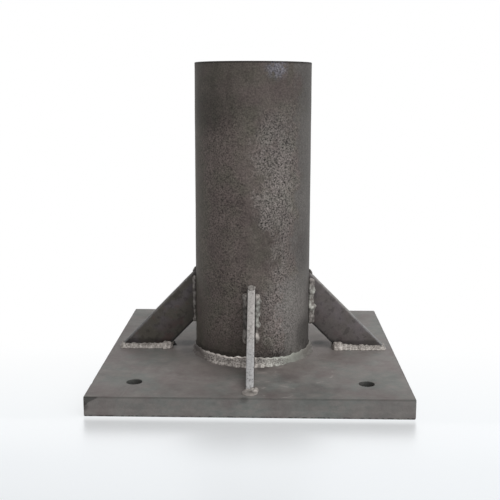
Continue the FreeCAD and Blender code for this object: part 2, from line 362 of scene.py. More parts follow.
def make_plate_steel():
    """Hot-rolled plate: cloudy mill scale, sheared edges with a paler lower band and dark nicks."""
    settings = bpy.context.scene.base_plate_settings
    material, graph, surface, place = start_material("cloudy_plate_scale")
    half, top = PLATE_HALF / MM, PLATE_TOP / MM
    hole_radius, hole_reach = HOLE_RADIUS / MM, HOLE_REACH / MM
    x, y, z = place.parts()
    broad, cloud, streak, fleck, grain, soot = graph.layers(
        place, (44, 2, 3), (17, 4, 7), (7, 3, 10, (0.75, 1, 1.6)), (2.6, 3, 1), (1.2, 2, 5), (9, 2, 9))
    rim = abs(x).upper(abs(y))
    side = rim.fade(half - 0.8, half - 0.3)

    # Tints
    hue = (broad * 0.6 + cloud * 0.4 + side * 0.03).fade(0.42, 0.6)
    colour = graph.blend(hue, settings.warm_colour[:], settings.cool_colour[:])
    colour = graph.blend(streak.fade(0.44, 0.6) * 0.7, colour, settings.colour[:])
    ring = (x * x + y * y) ** 0.5 + soot.swing(14)
    colour = graph.blend(ring.fade(90, 68) * 0.5, colour, settings.heat_colour[:])

    # Brightness: clouds, marks, arcs, painted shade in the gap under the left bar's inner end, and a darker
    # front
    light = 1.08 + cloud.swing(0.7) + broad.swing(0.5) + streak.swing(0.6)
    light = light + fleck.swing(0.28) + grain.swing(0.24)
    light = add_marks(graph, place, light, cloud, PLATE_MARKS, wander=1.4, core=0.3)
    for centre, radius in PLATE_ARCS:
        line = abs(graph.distance(place, centre) - radius + cloud.swing(6)).fade(1.3, 0.3)
        light = light.lighter(line * streak.fade(0.5, 0.62), 0.3)
    # Painted shade: a dark hooked streak where the gap under the left bar's inner end lies in shadow; it is
    # also rougher
    painted_gap_shade = abs(x + y * 0.29 + 70.6 + fleck.swing(1.6)).fade(2.7, 1.5) * y.within(2, 15, 1.5)
    light = light.darker(painted_gap_shade, 0.96).darker(y.fade(-84, -112), 0.07)

    # Sheared sides
    arris = rim.fade(half - 1.6, half - 0.4) * z.fade(top - 1.8, top - 0.4)
    light = light.darker(arris, 0.2 + fleck * 0.25).darker(side, 0.19)
    chip = side * ((x + half) / 12 + (top - z) / 7.5 + fleck.swing(0.5)).fade(1.05, 0.9) * y.fade(-120, -125)
    lower_band = side * (z + fleck.swing(3)).fade(7.2, 6.2)
    nick = side * z.fade(2.0, 0.8) * fleck.fade(0.45, 0.55)
    light = light.darker(chip, 0.55).lighter(lower_band, 0.06).darker(nick, 0.75)

    # Shade round the left half of the ring weld, and inside the holes
    light = light.darker(ring.fade(70, 60) * x.fade(30, 0), 0.12)
    off_hole = ((abs(x) - hole_reach) ** 2 + (abs(y) - hole_reach) ** 2) ** 0.5 - hole_radius
    light = light.darker(off_hole.fade(0.35, 0.1) * z.fade(top - 0.1, top - 0.6), 0.6)
    roughness = 0.52 + cloud.swing(0.3) + grain.swing(0.2) + painted_gap_shade * 0.6
    height = grain * 0.5 + fleck * 0.9
    finish_surface(
        graph, surface, colour.scaled(light), roughness, height, depth=0.16, metallic=0.1, specular=0.2)
    return material


# Marks on the tube: centre in millimetres, reach, and how much lighter or darker the middle is. Most are
# stains in the scale; the two small dark ones beside the top of the front bar are painted shadows
POST_MARKS = (
    (5, -50, 112, 24, 0.78), (-12, -49, 262, 20, 0.9), (22, -45, 266, 11, 1.3),
    (-36, -36, 232, 34, 0.66), (-5.5, -50.5, 82, 5, 0.66), (5, -50, 80.5, 5, 0.66),
    (4, -50, 138, 13, 0.8), (20, -46, 166, 16, 1.16), (28, -42, 214, 16, 0.84),
    (46, -22, 34, 22, 0.6), (46, -20, 110, 34, 0.86), (30, -40, 58, 30, 1.22),
    (16, -48, 46, 18, 1.16), (-8, -50, 150, 14, 0.88), (-44, -25, 196, 22, 0.92),
)


def make_post_steel():
    """Mill scale on the tube: brown and olive clouds, grainy patches, and soot above the ring weld."""
    settings = bpy.context.scene.base_post_settings
    material, graph, surface, place = start_material("pitted_tube_scale")
    rim = POST_RIM / MM
    x, y, z = place.parts()
    tall = (1, 1, 0.7)
    broad, cloud, tint, fleck, grain, patch = graph.layers(
        place, (32, 3, 2, tall), (11, 4, 6, tall), (15, 3, 16), (3.0, 3, 4), (1.25, 1, 1), (26, 2, 8))

    # Degrees from the front to the right, and height, for ragged borders
    drift = cloud.swing(60) + fleck.swing(20)
    bearing = x.bearing(y * -1)
    around = bearing + drift
    up = z + drift * 0.6

    # Where the scale is smooth, and where it is grainy
    smooth = around.within(26, 70, 8) * up.within(20, 92, 10)
    start = up.within(86, 134, 10) * 14
    front = (around - start).fade(-3, 21) * around.fade(54, 34) * up.fade(244, 214) * (1 - smooth * 0.7)
    left = around.within(-50, -8, 14) * up.within(112, 232, 20)
    low_left = around.within(-50, 2, 12) * up.within(40, 104, 14)
    others = patch.fade(0.42, 0.56) * abs(around).fade(70, 90)
    spot = graph.distance(place, (20, -46, 266)).fade(13, 5) * fleck.fade(0.4, 0.55)
    grainy = front.upper(spot * 0.7).upper(left * 0.5).upper(low_left * 0.55).upper(others * 0.8)

    # Tints
    olive = (tint * 0.6 + broad * 0.4 + bearing.fade(-40, -64) * 0.1).fade(0.4, 0.64)
    colour = graph.blend(olive, settings.warm_colour[:], settings.cool_colour[:])
    colour = graph.blend(cloud.fade(0.36, 0.68) * 0.5, colour, settings.colour[:])
    grey = around.fade(36, 60).upper(front * 0.6).upper(smooth)
    colour = graph.blend(grey * 0.8, colour, settings.grey_colour[:])
    colour = graph.blend(spot * 0.8, colour, settings.lilac_colour[:])

    # Brightness: clouds, painted shade on the upper end, a darker rim line, marks, grains, pits, and soot
    # that is partly painted shade above the ring weld
    light = 1 + cloud.swing(0.6) + broad.swing(0.5) + fleck.swing(0.45)
    # Painted shade darkens the upper end; the grainy band right of the front is paler scale that also carries
    # a painted highlight
    light = light.darker(up.fade(195, 245), 0.2).lighter(front, 0.28)
    edge = z.fade(rim - 2.1, rim - 1.1) * (1 - z.fade(rim - 0.05, rim - 0.01))
    light = light.darker(edge, 0.6)
    light = add_marks(graph, place, light, cloud, POST_MARKS, wander=1.2, core=0.3)
    light = light.lighter(grain - 0.5, 1.3 + grainy * 2.6)
    pit = (grain + fleck.swing(0.3)).fade(0.42, 0.3) * (0.15 + grainy * 0.85)
    # The smooth patch low on the right is painted lighter, as a painted sheen
    light = light.darker(pit, 0.22).lighter(smooth, 0.34)
    # Soot at the foot, strongest on the left, and a dark line just above the ring weld: partly heat soot,
    # partly painted shade where the lower left and the crease by the weld lie in shade
    soot = (z + cloud.swing(12)).fade(36, 22) * abs(around + 20).fade(78, 40)
    line = (z + fleck.swing(2)).fade(27, 24.4) * abs(around + 15).fade(75, 40)
    light = light.darker(soot, 0.22).darker(line, 0.42)
    height = grain * (0.5 + grainy * 0.8) + fleck * 0.5
    roughness = 0.6 + cloud.swing(0.25) + grain.swing(0.2)
    finish_surface(
        graph, surface, colour.scaled(light), roughness, height, depth=0.26, metallic=0.05, specular=0.14)
    return material


def bar_sizes(side):
    """Rise up the post, run along the plate and half the thickness of one gusset."""
    low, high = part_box(f"gusset_{side}")
    reach = {"right": high.x, "back": high.y, "left": -low.x, "front": -low.y}[side]
    return high.z - PLATE_TOP, reach - POST_RADIUS, min(high.x - low.x, high.y - low.y) / 2


# Each bar: how light its wide faces are, how olive, how red towards the inner edge, how light its narrow
# edges are, and how bright the painted highlight along the upper edge is (below 0, a painted dark line).
# The face and edge levels differ between bars as painted light and shade: the right bar's faces and the
# front bar's edges are painted lit, the left bar painted in shade
BAR_TONES = {
    "right": (1.34, 0.35, 0.4, 0.54, 0.05),
    "back": (1.0, 0.5, 0.5, 0.8, 0.15),
    "left": (0.92, 0.9, 1.0, 0.36, -0.25),
    "front": (1.0, 0.5, 0.5, 0.98, 0.1),
}


def make_bar_steel(side):
    """Flat bar: mottled dark scale on the wide faces, pale grainy metal on the narrow edges."""
    settings = bpy.context.scene.base_gusset_settings
    material, graph, surface, place = start_material(f"flat_bar_scale_{side}")
    rise, run, half_thickness = (size / MM for size in bar_sizes(side))
    width = settings.width / MM
    face_tone, olive, redness, edge_tone, painted_arris_light = BAR_TONES[side]
    turn = math.radians(GUSSET_TURNS[side])
    east, north = round(math.cos(turn)), round(math.sin(turn))
    slope = math.atan2(rise, run)
    cloud, blotch, fleck, grain = graph.layers(place, (11, 4, 12), (5, 3, 15), (2.2, 3, 13), (1.5, 2, 14))

    # Place on the bar: out from the tube, up from the plate, off its middle plane, down from its upper edge
    x, y, z = place.parts()
    out = x * east + y * north - POST_RADIUS / MM
    up = z - PLATE_TOP / MM
    aside = abs(y * east - x * north)
    inner = (run - out) * math.sin(slope) - up * math.cos(slope)
    drift = cloud.swing(14)

    # Wide faces: blotches; painted shade towards the inner edge and in a band along it; darker near the tube,
    # partly soot and partly painted shade; darker over a foot weld, near the plate; and a painted highlight
    # along the upper edge, which on the left bar is a painted dark line
    face_light = 1 + cloud.swing(0.5) + fleck.swing(0.3) + grain.swing(0.2)
    face_light = (
        face_light.darker(blotch.fade(0.46, 0.38), 0.26).lighter(blotch.fade(0.56, 0.66), 0.12)
        .darker((inner + drift).fade(8, 30), 0.3).darker(inner.fade(width - 2.55, width - 0.95), 0.6)
        .darker((out + drift * 0.4).fade(12, 5), 0.16))
    if side in ("left", "right"):
        face_light = face_light.darker((up + drift * 0.2).fade(9.5, 5.8), 0.5)
    face_light = face_light.lighter(inner.fade(1.1, 0.3), painted_arris_light)
    red = ((inner + drift).fade(10, 30) * cloud.fade(0.46, 0.56)).upper(blotch.fade(0.6, 0.66) * 0.5)
    face = graph.blend((1 - cloud).fade(0.36, 0.6) * olive, settings.colour[:], settings.olive_colour[:])
    face = graph.blend(red * redness, face, settings.rust_colour[:]).scaled(face_light * face_tone)

    # Narrow edges: grains, pits, painted shade on the lower edge, which faces down, and pale long borders
    edge = aside.fade(half_thickness - 0.03, half_thickness - 0.15)
    edge_light = 1 + grain.swing(1.1) + fleck.swing(0.3)
    edge_light = (
        edge_light.darker((fleck * 0.5 + grain * 0.5).fade(0.44, 0.36), 0.3)
        .darker(inner.fade(22, 29), 0.8)
        .lighter(aside.fade(half_thickness - 1.1, half_thickness - 0.7), 0.12))
    rim = graph.blend((z + drift).fade(56, 36), settings.edge_colour[:], settings.low_edge_colour[:])
    colour = graph.blend(edge, face, rim.scaled(edge_light * edge_tone))
    height = grain * (0.5 + edge * 0.6) + fleck * 0.6
    finish_surface(
        graph, surface, colour, 0.55 + cloud.swing(0.3), height, depth=0.16, metallic=0.1, specular=0.18)
    return material


# Each kind of weld: size and height of its grains as shares of the settings, how crumbly it is, how deep in
# millimetres its foot sits in the plate, how often it is rounded, how light it is and how much is greenish
WELD_KINDS = {
    "ring": (0.8, 0.2, 0.7, 0.3, 5, 0.98, 0.0),
    "foot": (0.95, 0.26, 0.7, 0.3, 12, 0.96, 0.1),
    "upright": (2.8, 0.16, 0.1, 0.0, 40, 0.76, 0.0),
    "tip": (1.2, 0.08, 0.3, 0.0, 26, 0.74, 0.1),
    "toe": (2.2, 0.1, 0.2, 0.3, 16, 0.74, 0.1),
}

# Lighter and darker spots: centre in millimetres, reach and factor. Most are droplets that came out lighter
# or darker than the rest; some are painted light and shade: the front bar's shadow on the ring, shade at the
# inner end of the left foot run, and a highlight on the middle of the right upright
WELD_MARKS = {
    "ring": ((8, -53, 22, 5, 0.66), (-13, -51, 23, 5, 1.4)),
    "foot": (
        (-67, -4, 18, 5.5, 0.22), (-80, -4, 18, 9, 1.12), (-112, -4, 18, 22, 0.9),
        (84, -4, 18, 14, 1.12)),
    "upright": (
        (54, -4, 84, 6, 1.1), (54, -4, 77, 6, 0.7), (54, -4, 61, 12, 1.4), (54, -4, 43, 7, 0.62),
        (-52.5, -4, 64, 26, 0.55), (-53, -4, 37, 5, 0.5), (5.6, -51, 72, 6, 0.85),
        (5.6, -51, 59, 6, 1.45), (5.6, -51, 43, 5, 1.15), (-14, -51, 60, 26, 0.42)),
    "tip": ((53, 0, 88, 8, 0.5), (-53, 0, 90, 8, 0.4), (0, -52, 86, 9, 0.66)),
    "toe": (),
}


def make_weld_metal(kind):
    """Weld metal: pale on the grains, slag and soot in the pits between them, plain where it is smooth."""
    settings = bpy.context.scene.base_weld_settings
    material, graph, surface, place = start_material(f"{kind}_weld_metal")
    x, y, z = place.parts()
    *_, level, green = WELD_KINDS[kind]
    stored, rough = (
        graph.wire("ShaderNodeAttribute", {"attribute_name": name}, {}, "Fac") for name in ("grain", "rough"))
    cloud, fine = graph.layers(place, (8, 3, 21), (0.7, 2, 22))
    clean = (stored + fine.swing(0.5)).fade(0.05, 0.85)
    light = 1 + cloud.swing(0.5) + fine.swing(0.5)
    plain_light = 1 + cloud.swing(0.3) + fine.swing(0.25)
    greenish = cloud.fade(0.46, 0.6) * green
    if kind == "ring":
        off_tube = (x * x + y * y) ** 0.5 - POST_RADIUS / MM
        lip = off_tube.fade(2.4, 1.6)
        clean = clean.upper(lip * 0.95) + off_tube.fade(5.0, 6.6) * 0.15
        # Painted highlight along the ring's upper lip, strongest in front a little left of the middle and, on
        # the plain part, to the right; a darker band just outside the lip; and painted shade on the left
        light = (
            light.lighter(lip, 0.1 + x.within(-22, -6, 6) * 0.95)
            .darker(off_tube.within(2.6, 5.6, 0.5), 0.14)
            .darker(x.bearing(abs(y)).fade(-14, -42) * (1 - lip), 0.03))
        plain_light = plain_light.lighter(lip * x.fade(0, 20), 0.3)
        greenish = x.fade(0, 26) * 0.7
    elif kind == "foot":
        clean = clean * 0.75 + 0.15 + z.fade(17.8, 16.6) * 0.3
    elif kind == "upright":
        greenish = z.within(50, 74, 3) * x.fade(0, 4) * 0.6
    elif kind == "tip":
        clean = clean * 0.75 + 0.2
    elif kind == "toe":
        puddle = (z + (fine - 0.5) + (x + 4).fade(0, 6)).fade(18.8, 17.8)
        clean = clean * (1 - puddle * 0.75) + puddle * 0.36
    light = add_marks(graph, place, light, cloud, WELD_MARKS[kind], wander=0.8, core=0.4)
    bright = graph.blend(greenish, settings.colour[:], settings.cool_colour[:])
    colour = graph.blend(clean, settings.pit_colour[:], bright).scaled(light * level)
    to_right = x.fade(-6, 6) - x.fade(34, 50) * 0.7
    plain = graph.blend(to_right, settings.brown_colour[:], settings.grey_colour[:])
    colour = graph.blend(rough, plain.scaled(plain_light), colour)
    roughness = 0.5 + fine.swing(0.3) + (1 - clean) * 0.2
    finish_surface(
        graph, surface, colour, roughness, fine, depth=0.1, metallic=0.2, specular=0.35)
    return material


# Meshes

EDGE_STEP = 1.3 * MM  # between two stations along the plate's edges
CORNER_STEPS = 4
SIDE_ROWS = 13
ROUNDING_WEAR = 0.55  # share of the plate's wear on its upper arris
HOLE_STEPS = 56
# Rings down a hole: how much wider than the hole, in millimetres, and height
HOLE_RINGS = (
    (0.5, PLATE_TOP), (0.22, PLATE_TOP - 0.12 * MM), (0.06, PLATE_TOP - 0.35 * MM),
    (0.0, PLATE_TOP - 0.8 * MM), (0.0, PLATE_TOP / 2), (0.0, 0.5 * MM), (0.3, 0.0))
POST_STEPS = 300
POST_OUTER_ROWS, POST_RIM_ROWS, POST_INNER_ROWS = 88, 5, 60
RIM_OUTER_ROUND, RIM_INNER_ROUND = 0.6 * MM, 0.4 * MM
BAR_STEPS = 72
BAR_EDGE_BAND = 2 * MM  # how far the wear reaches in from a bar's narrow edges
MERGE_GAP = 0.005 * MM
BEAD_MERGE_GAP = 0.002 * MM


def waver(point, size, seed):
    """Smooth noise from about -1 to 1 at a point, whose waves are about size long."""
    return noise.noise(point / size + Vector((seed * 7.31, seed * 3.17, seed * 5.53)))


def ray(angle):
    """Level vector of length 1, at an angle from +X."""
    return Vector((math.cos(angle), math.sin(angle), 0))


def bend(radius, steps):
    """(inset, drop) of the points round a quarter bend, from its flat side to its upright one."""
    angles = [QUARTER * i / steps for i in range(steps + 1)]
    return [(radius * (1 - math.sin(angle)), radius * (1 - math.cos(angle))) for angle in angles]


def add_object(name, data):
    """New object in the scene."""
    made = bpy.data.objects.new(name, data)
    bpy.context.scene.collection.objects.link(made)
    return made


def band_faces(count, low, high):
    """Quads between two closed rings of vertices that start at low and high."""
    return [(low + i, low + (i + 1) % count, high + (i + 1) % count, high + i) for i in range(count)]


def finish_piece(name, mesh, material, nodes, smooth=SHARP_ANGLE):
    """Object for a finished mesh, riding on the one body and standing for its CAD nodes."""
    if smooth:
        mesh.shade_smooth()
        mesh.set_sharp_from_angle(angle=smooth)
    mesh.materials.clear()
    mesh.materials.append(material)
    piece = add_object(name, mesh)
    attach(piece, "root")
    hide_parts(*nodes)
    return piece


def outward_mesh(name, points, faces):
    """Mesh of one closed shell with its faces turned outwards."""
    mesh = bpy.data.meshes.new(name)
    mesh.from_pydata(points, [], faces)
    shell = bmesh.new()
    shell.from_mesh(mesh)
    bmesh.ops.remove_doubles(shell, verts=shell.verts, dist=MERGE_GAP)
    bmesh.ops.recalc_face_normals(shell, faces=shell.faces)
    shell.to_mesh(mesh)
    shell.free()
    mesh.validate()
    return mesh


def square_stations(half, corner, step):
    """Points round a square with rounded corners, each with its outward direction."""
    stations = []
    inner = half - corner
    count = round(2 * inner / step)
    for quarter in range(4):
        turn = Matrix.Rotation(math.radians(90 * quarter), 4, "Z")
        for i in range(count):
            point = Vector((half, -inner + 2 * inner * i / count, 0))
            stations.append((turn @ point, turn @ Vector((1, 0, 0))))
        for i in range(CORNER_STEPS):
            out = ray(QUARTER * i / CORNER_STEPS)
            stations.append((turn @ (Vector((inner, inner, 0)) + out * corner), turn @ out))
    return stations


def plate_profile(thickness, radius):
    """(inset, height, wear) down the plate's edge, from the flat top round to the flat underside."""
    flat = radius + 0.3 * MM
    corner = bend(radius, CORNER_STEPS)
    profile = [(flat, thickness, 0.0)]
    profile += [(inset, thickness - drop, ROUNDING_WEAR) for inset, drop in corner]
    for i in range(1, SIDE_ROWS):
        height = thickness - radius - (thickness - 2 * radius) * i / SIDE_ROWS
        profile.append((0.0, height, 0.3 if height > 0.42 * thickness else 0.5))
    profile += [(drop, inset, 1.0) for inset, drop in corner]
    return profile + [(flat, 0.0, 0.0)]


def plate_edge_rings(shell, settings):
    """Rings of vertices down the plate's sheared edges, waved and nicked."""
    stations = square_stations(PLATE_HALF, settings.edge_round + 0.4 * MM, EDGE_STEP)
    rings = []
    for inset, height, wear in plate_profile(PLATE_TOP, settings.edge_round):
        ring = []
        for base, out in stations:
            point = base - out * inset + UP * height
            wave = 0.5 + 0.5 * waver(point, 9 * MM, 1)
            fine = 0.5 + 0.5 * waver(point, 2.2 * MM, 2)
            chip = max(0.0, waver(point, 5 * MM, 3) - 0.35) * 1.6
            depth = settings.edge_wear * wear * (0.3 * wave + 0.3 * fine + chip)
            inward = -out
            if wear >= ROUNDING_WEAR:
                inward = inward + (UP * (PLATE_TOP / 2 - height)).normalized()
            ring.append(shell.verts.new(point + inward * depth))
        rings.append(ring)
    return rings


def hole_rings(shell, middle):
    """Rings of vertices down one anchor hole, with slightly ragged edges."""
    rings = []
    for grow, height in HOLE_RINGS:
        ring = []
        for i in range(HOLE_STEPS):
            out = ray(2 * math.pi * i / HOLE_STEPS)
            at = middle + out * HOLE_RADIUS + UP * height
            ragged = 0.12 * MM * (1 + waver(at, 1.6 * MM, 5)) * (grow > 0)
            ring.append(shell.verts.new(at + out * (grow * MM + ragged)))
        rings.append(ring)
    return rings


def join_rings(shell, rings):
    """Quads between each ring of vertices and the next."""
    for near, far in zip(rings, rings[1:]):
        for i in range(len(near)):
            j = (i + 1) % len(near)
            shell.faces.new((near[i], near[j], far[j], far[i]))


def make_plate_mesh(settings):
    """Square plate: sheared, nicked edges round two flat faces, with four drilled holes."""
    shell = bmesh.new()
    walls = [plate_edge_rings(shell, settings)]
    join_rings(shell, walls[0])
    for sx, sy in ((-1, -1), (-1, 1), (1, -1), (1, 1)):
        walls.append(hole_rings(shell, Vector((sx * HOLE_REACH, sy * HOLE_REACH, 0))))
        join_rings(shell, walls[-1])
    for end in (0, -1):
        edges = []
        for loop in (rings[end] for rings in walls):
            for pair in zip(loop, loop[1:] + loop[:1]):
                edges.append(shell.edges.get(pair) or shell.edges.new(pair))
        bmesh.ops.triangle_fill(shell, use_beauty=True, edges=edges)
    bmesh.ops.recalc_face_normals(shell, faces=shell.faces)
    mesh = bpy.data.meshes.new("steel_plate")
    shell.to_mesh(mesh)
    shell.free()
    return mesh


def post_profile():
    """(radius, height, unevenness) up the outside of the tube, over its rim and down its inside."""
    shaft = POST_RIM - 0.9 * MM - PLATE_TOP
    rows = [(POST_RADIUS, PLATE_TOP + shaft * i / POST_OUTER_ROWS, 1.0) for i in range(POST_OUTER_ROWS + 1)]
    for inset, drop in bend(RIM_OUTER_ROUND, 4)[1:]:
        rows.append((POST_RADIUS - drop, POST_RIM - inset, 0.5))
    flat = POST_RADIUS - BORE_RADIUS - (RIM_OUTER_ROUND + RIM_INNER_ROUND)
    for i in range(1, POST_RIM_ROWS + 1):
        rows.append((POST_RADIUS - RIM_OUTER_ROUND - flat * i / POST_RIM_ROWS, POST_RIM, 0.0))
    for inset, drop in bend(RIM_INNER_ROUND, 3)[1:]:
        rows.append((BORE_RADIUS + inset, POST_RIM - drop, 0.5))
    bore_top = POST_RIM - RIM_INNER_ROUND
    for i in range(1, POST_INNER_ROWS + 1):
        rows.append((BORE_RADIUS, bore_top - (bore_top - PLATE_TOP) * i / POST_INNER_ROWS, 0.6))
    return rows


def make_post_mesh(settings):
    """Round tube with softly uneven walls and a sawn rim."""
    rows = post_profile()
    points = []
    for radius, height, share in rows:
        for i in range(POST_STEPS):
            out = ray(2 * math.pi * i / POST_STEPS)
            point = out * radius + UP * height
            wave = waver(point, 34 * MM, 11) + 0.45 * waver(point, 11 * MM, 12)
            points.append(point + out * (settings.dent * share * wave))
    faces = []
    for row in range(len(rows)):
        faces += band_faces(POST_STEPS, row * POST_STEPS, (row + 1) % len(rows) * POST_STEPS)
    return outward_mesh("post_pipe", points, faces)


def bar_outline(half_width, half_thickness, radius):
    """Outline of the flat bar's section: pairs of across-the-slope and sideways distances."""
    outline = []
    for sx, sy, start in ((1, 1, 0), (-1, 1, 90), (-1, -1, 180), (1, -1, 270)):
        for i in range(5):
            angle = math.radians(start + 90 * i / 4)
            outline.append((
                sx * (half_width - radius) + radius * math.cos(angle),
                sy * (half_thickness - radius) + radius * math.sin(angle)))
    filled = []
    for (u, v), (nu, nv) in zip(outline, outline[1:] + outline[:1]):
        parts = max(1, round(math.hypot(nu - u, nv - v) / (1.6 * MM)))
        filled += [(u + (nu - u) * k / parts, v + (nv - v) * k / parts) for k in range(parts)]
    return filled


def make_bar_mesh(side, settings):
    """Flat bar mitred to the post and to the plate, with slightly uneven narrow edges."""
    rise, run, half_thickness = bar_sizes(side)
    turn = GUSSET_TURNS[side]
    slope = math.atan2(rise, run)
    half_width = settings.width / 2
    across = Vector((math.sin(slope), 0, math.cos(slope)))
    down = Vector((math.cos(slope), 0, -math.sin(slope)))
    middle = Vector((POST_RADIUS, 0, PLATE_TOP + rise)) - across * half_width
    outline = bar_outline(half_width, half_thickness, settings.edge_round)
    points = []
    for step in range(BAR_STEPS + 1):
        for u, v in outline:
            line = middle + across * u + Vector((0, v, 0))
            start = (POST_RADIUS - line.x) / down.x
            stop = (PLATE_TOP - line.z) / down.z
            point = line + down * (start + (stop - start) * step / BAR_STEPS)
            if abs(u) > half_width - BAR_EDGE_BAND and 0 < step < BAR_STEPS:
                toward = across * (-u / half_width)
                if abs(v) > half_thickness - settings.edge_round:
                    toward -= Vector((0, math.copysign(1, v), 0))
                at = point + Vector((turn, 0, 0))
                wave = 0.5 + 0.5 * waver(at, 7 * MM, 31)
                fine = 0.5 + 0.5 * waver(at, 1.9 * MM, 32)
                point += toward * ((0.14 * wave + 0.12 * fine) * MM)
            points.append(point)
    count = len(outline)
    faces = []
    for step in range(BAR_STEPS):
        faces += band_faces(count, step * count, (step + 1) * count)
    faces += [tuple(range(first, first + count)) for first in (0, BAR_STEPS * count)]
    spin = Matrix.Rotation(math.radians(turn), 4, "Z")
    return outward_mesh(f"bar_{side}", [spin @ point for point in points], faces)


# Weld skin

RING_MIDDLE = 54 * MM  # radius of the middle of the ring weld's face
SKIN_DENSITY = 0.1  # the skin runs where the volume is as dense as this
PLAIN_ROUNDING = 30  # how often plain parts are rounded
INNER_FOOT, OUTER_FOOT = 70 * MM, 96 * MM  # the inner rise fades out between these

# Inputs of the weld skin: kind of socket and default value
WELD_INPUTS = {
    "Bead": ("Geometry", None), "Mesh Step": ("Float", 0.36 * MM), "Rounding": ("Int", 7),
    "Swell": ("Float", 0.22 * MM), "Grain Size": ("Float", 1.35 * MM), "Grain Height": ("Float", 0.4 * MM),
    "Crumbs": ("Float", 0.5), "Sink": ("Float", 0.0), "Smooth Sink": ("Float", 2.6 * MM),
    "Inner Rise": ("Float", 0.0), "Seed": ("Float", 1.0), "Rough From": ("Float", -math.pi),
    "Rough To": ("Float", math.pi), "Finish": ("Material", None),
}


def make_weld_tree():
    """Geometry Nodes that turn a plain bead into a fine closed skin with grains and pits."""
    tree = bpy.data.node_groups.new("grainy_weld_skin", "GeometryNodeTree")
    for name, (kind, default) in WELD_INPUTS.items():
        item = tree.interface.new_socket(name, in_out="INPUT", socket_type=f"NodeSocket{kind}")
        if default is not None:
            item.default_value = default
            item.min_value = min(default, 0)
    tree.interface.new_socket("Skin", in_out="OUTPUT", socket_type="NodeSocketGeometry")
    graph = Graph(tree)
    entry = graph.node("NodeGroupInput", {}, {})
    given = {socket.name: Wire(graph, socket) for socket in entry.outputs}
    step, size, seed = given["Mesh Step"], given["Grain Size"], given["Seed"]
    volume = graph.wire(
        "GeometryNodeMeshToVolume", {"resolution_mode": "VOXEL_SIZE"},
        {"Mesh": given["Bead"], "Voxel Size": step, "Interior Band Width": step * 3})
    skin = graph.wire(
        "GeometryNodeVolumeToMesh", {"resolution_mode": "GRID"},
        {"Volume": volume, "Threshold": SKIN_DENSITY})

    # Grain: about 0 in the pits, 1 on the tops; rough: 1 where a weld is grainy, 0 where it is plain
    position = graph.wire("GeometryNodeInputPosition", {}, {})
    lumps, crumbs = (
        graph.wire(
            "ShaderNodeTexNoise", {"noise_dimensions": "4D"},
            {"Vector": position, "W": start, "Scale": scale, "Detail": detail})
        for start, scale, detail in ((seed, 1 / size * 0.5, 1.0), (seed + 5, 2 / size, 2.0)))
    grains = graph.wire(
        "ShaderNodeTexVoronoi", {"voronoi_dimensions": "4D", "feature": "SMOOTH_F1"},
        {"Vector": position, "W": seed, "Scale": 1 / size, "Smoothness": 0.35})
    grain = (1 - grains * 1.5) * 0.5 + lumps.swing(1.3) + crumbs.swing(given["Crumbs"]) + 0.34
    x, y, z = position.parts()
    radius = (x * x + y * y) ** 0.5
    across = (radius - RING_MIDDLE).lower(4 * MM)
    around = x.math("ARCTAN2", x, abs(y)) + lumps.swing(0.2) - across * x.fade(0, -10 * MM) * 40
    rough = (around - given["Rough From"]).fade(-0.2, 0.16) * (given["Rough To"] - around).fade(-0.24, 0.06)

    # Rounded skin: all of it a few times, the plain parts many times
    for turns, weight in ((given["Rounding"], 1.0), (PLAIN_ROUNDING, 1 - rough)):
        rounded = graph.wire(
            "GeometryNodeBlurAttribute", {"data_type": "FLOAT_VECTOR"},
            {0: position, "Iterations": turns, "Weight": weight})
        skin = graph.wire("GeometryNodeSetPosition", {}, {"Geometry": skin, "Position": rounded})
    for name, value in (("grain", grain), ("rough", rough)):
        skin = graph.wire(
            "GeometryNodeStoreNamedAttribute", {"data_type": "FLOAT", "domain": "POINT"},
            {"Geometry": skin, "Name": name, "Value": value})
    kept, kept_rough = (
        graph.wire("GeometryNodeInputNamedAttribute", {"data_type": "FLOAT"}, {"Name": name})
        for name in ("grain", "rough"))

    # Last move: grains lifted off the skin, plain parts sunk, feet let into the plate, inner ends raised
    out = graph.wire("GeometryNodeInputNormal", {}, {})
    lift = given["Swell"] + kept.swing(given["Grain Height"]) * (0.1 + kept_rough * 0.9)
    reach = radius.upper(1 * MM)
    drop = (1 - kept_rough) * given["Smooth Sink"] * (reach - RING_MIDDLE).fade(-2.5 * MM, 1 * MM) * -1
    rise = given["Inner Rise"] * abs(x).fade(OUTER_FOOT, INNER_FOOT) * z.fade(PLATE_TOP, PLATE_TOP + 4 * MM)
    sunk = graph.wire("ShaderNodeCombineXYZ", {}, {
        "X": x / reach * drop * 0.6, "Y": y / reach * drop * 0.6, "Z": drop - given["Sink"] + rise})
    moved = graph.wire("ShaderNodeVectorMath", {"operation": "ADD"}, {0: out.scaled(lift), 1: sunk})
    skin = graph.wire("GeometryNodeSetPosition", {}, {"Geometry": skin, "Offset": moved})
    skin = graph.wire("GeometryNodeSetShadeSmooth", {}, {"Geometry": skin})
    skin = graph.wire("GeometryNodeRealizeInstances", {}, {"Geometry": skin})
    skin = graph.wire("GeometryNodeSetMaterial", {}, {"Geometry": skin, "Material": given["Finish"]})
    graph.node("NodeGroupOutput", {}, {0: skin})
    return tree


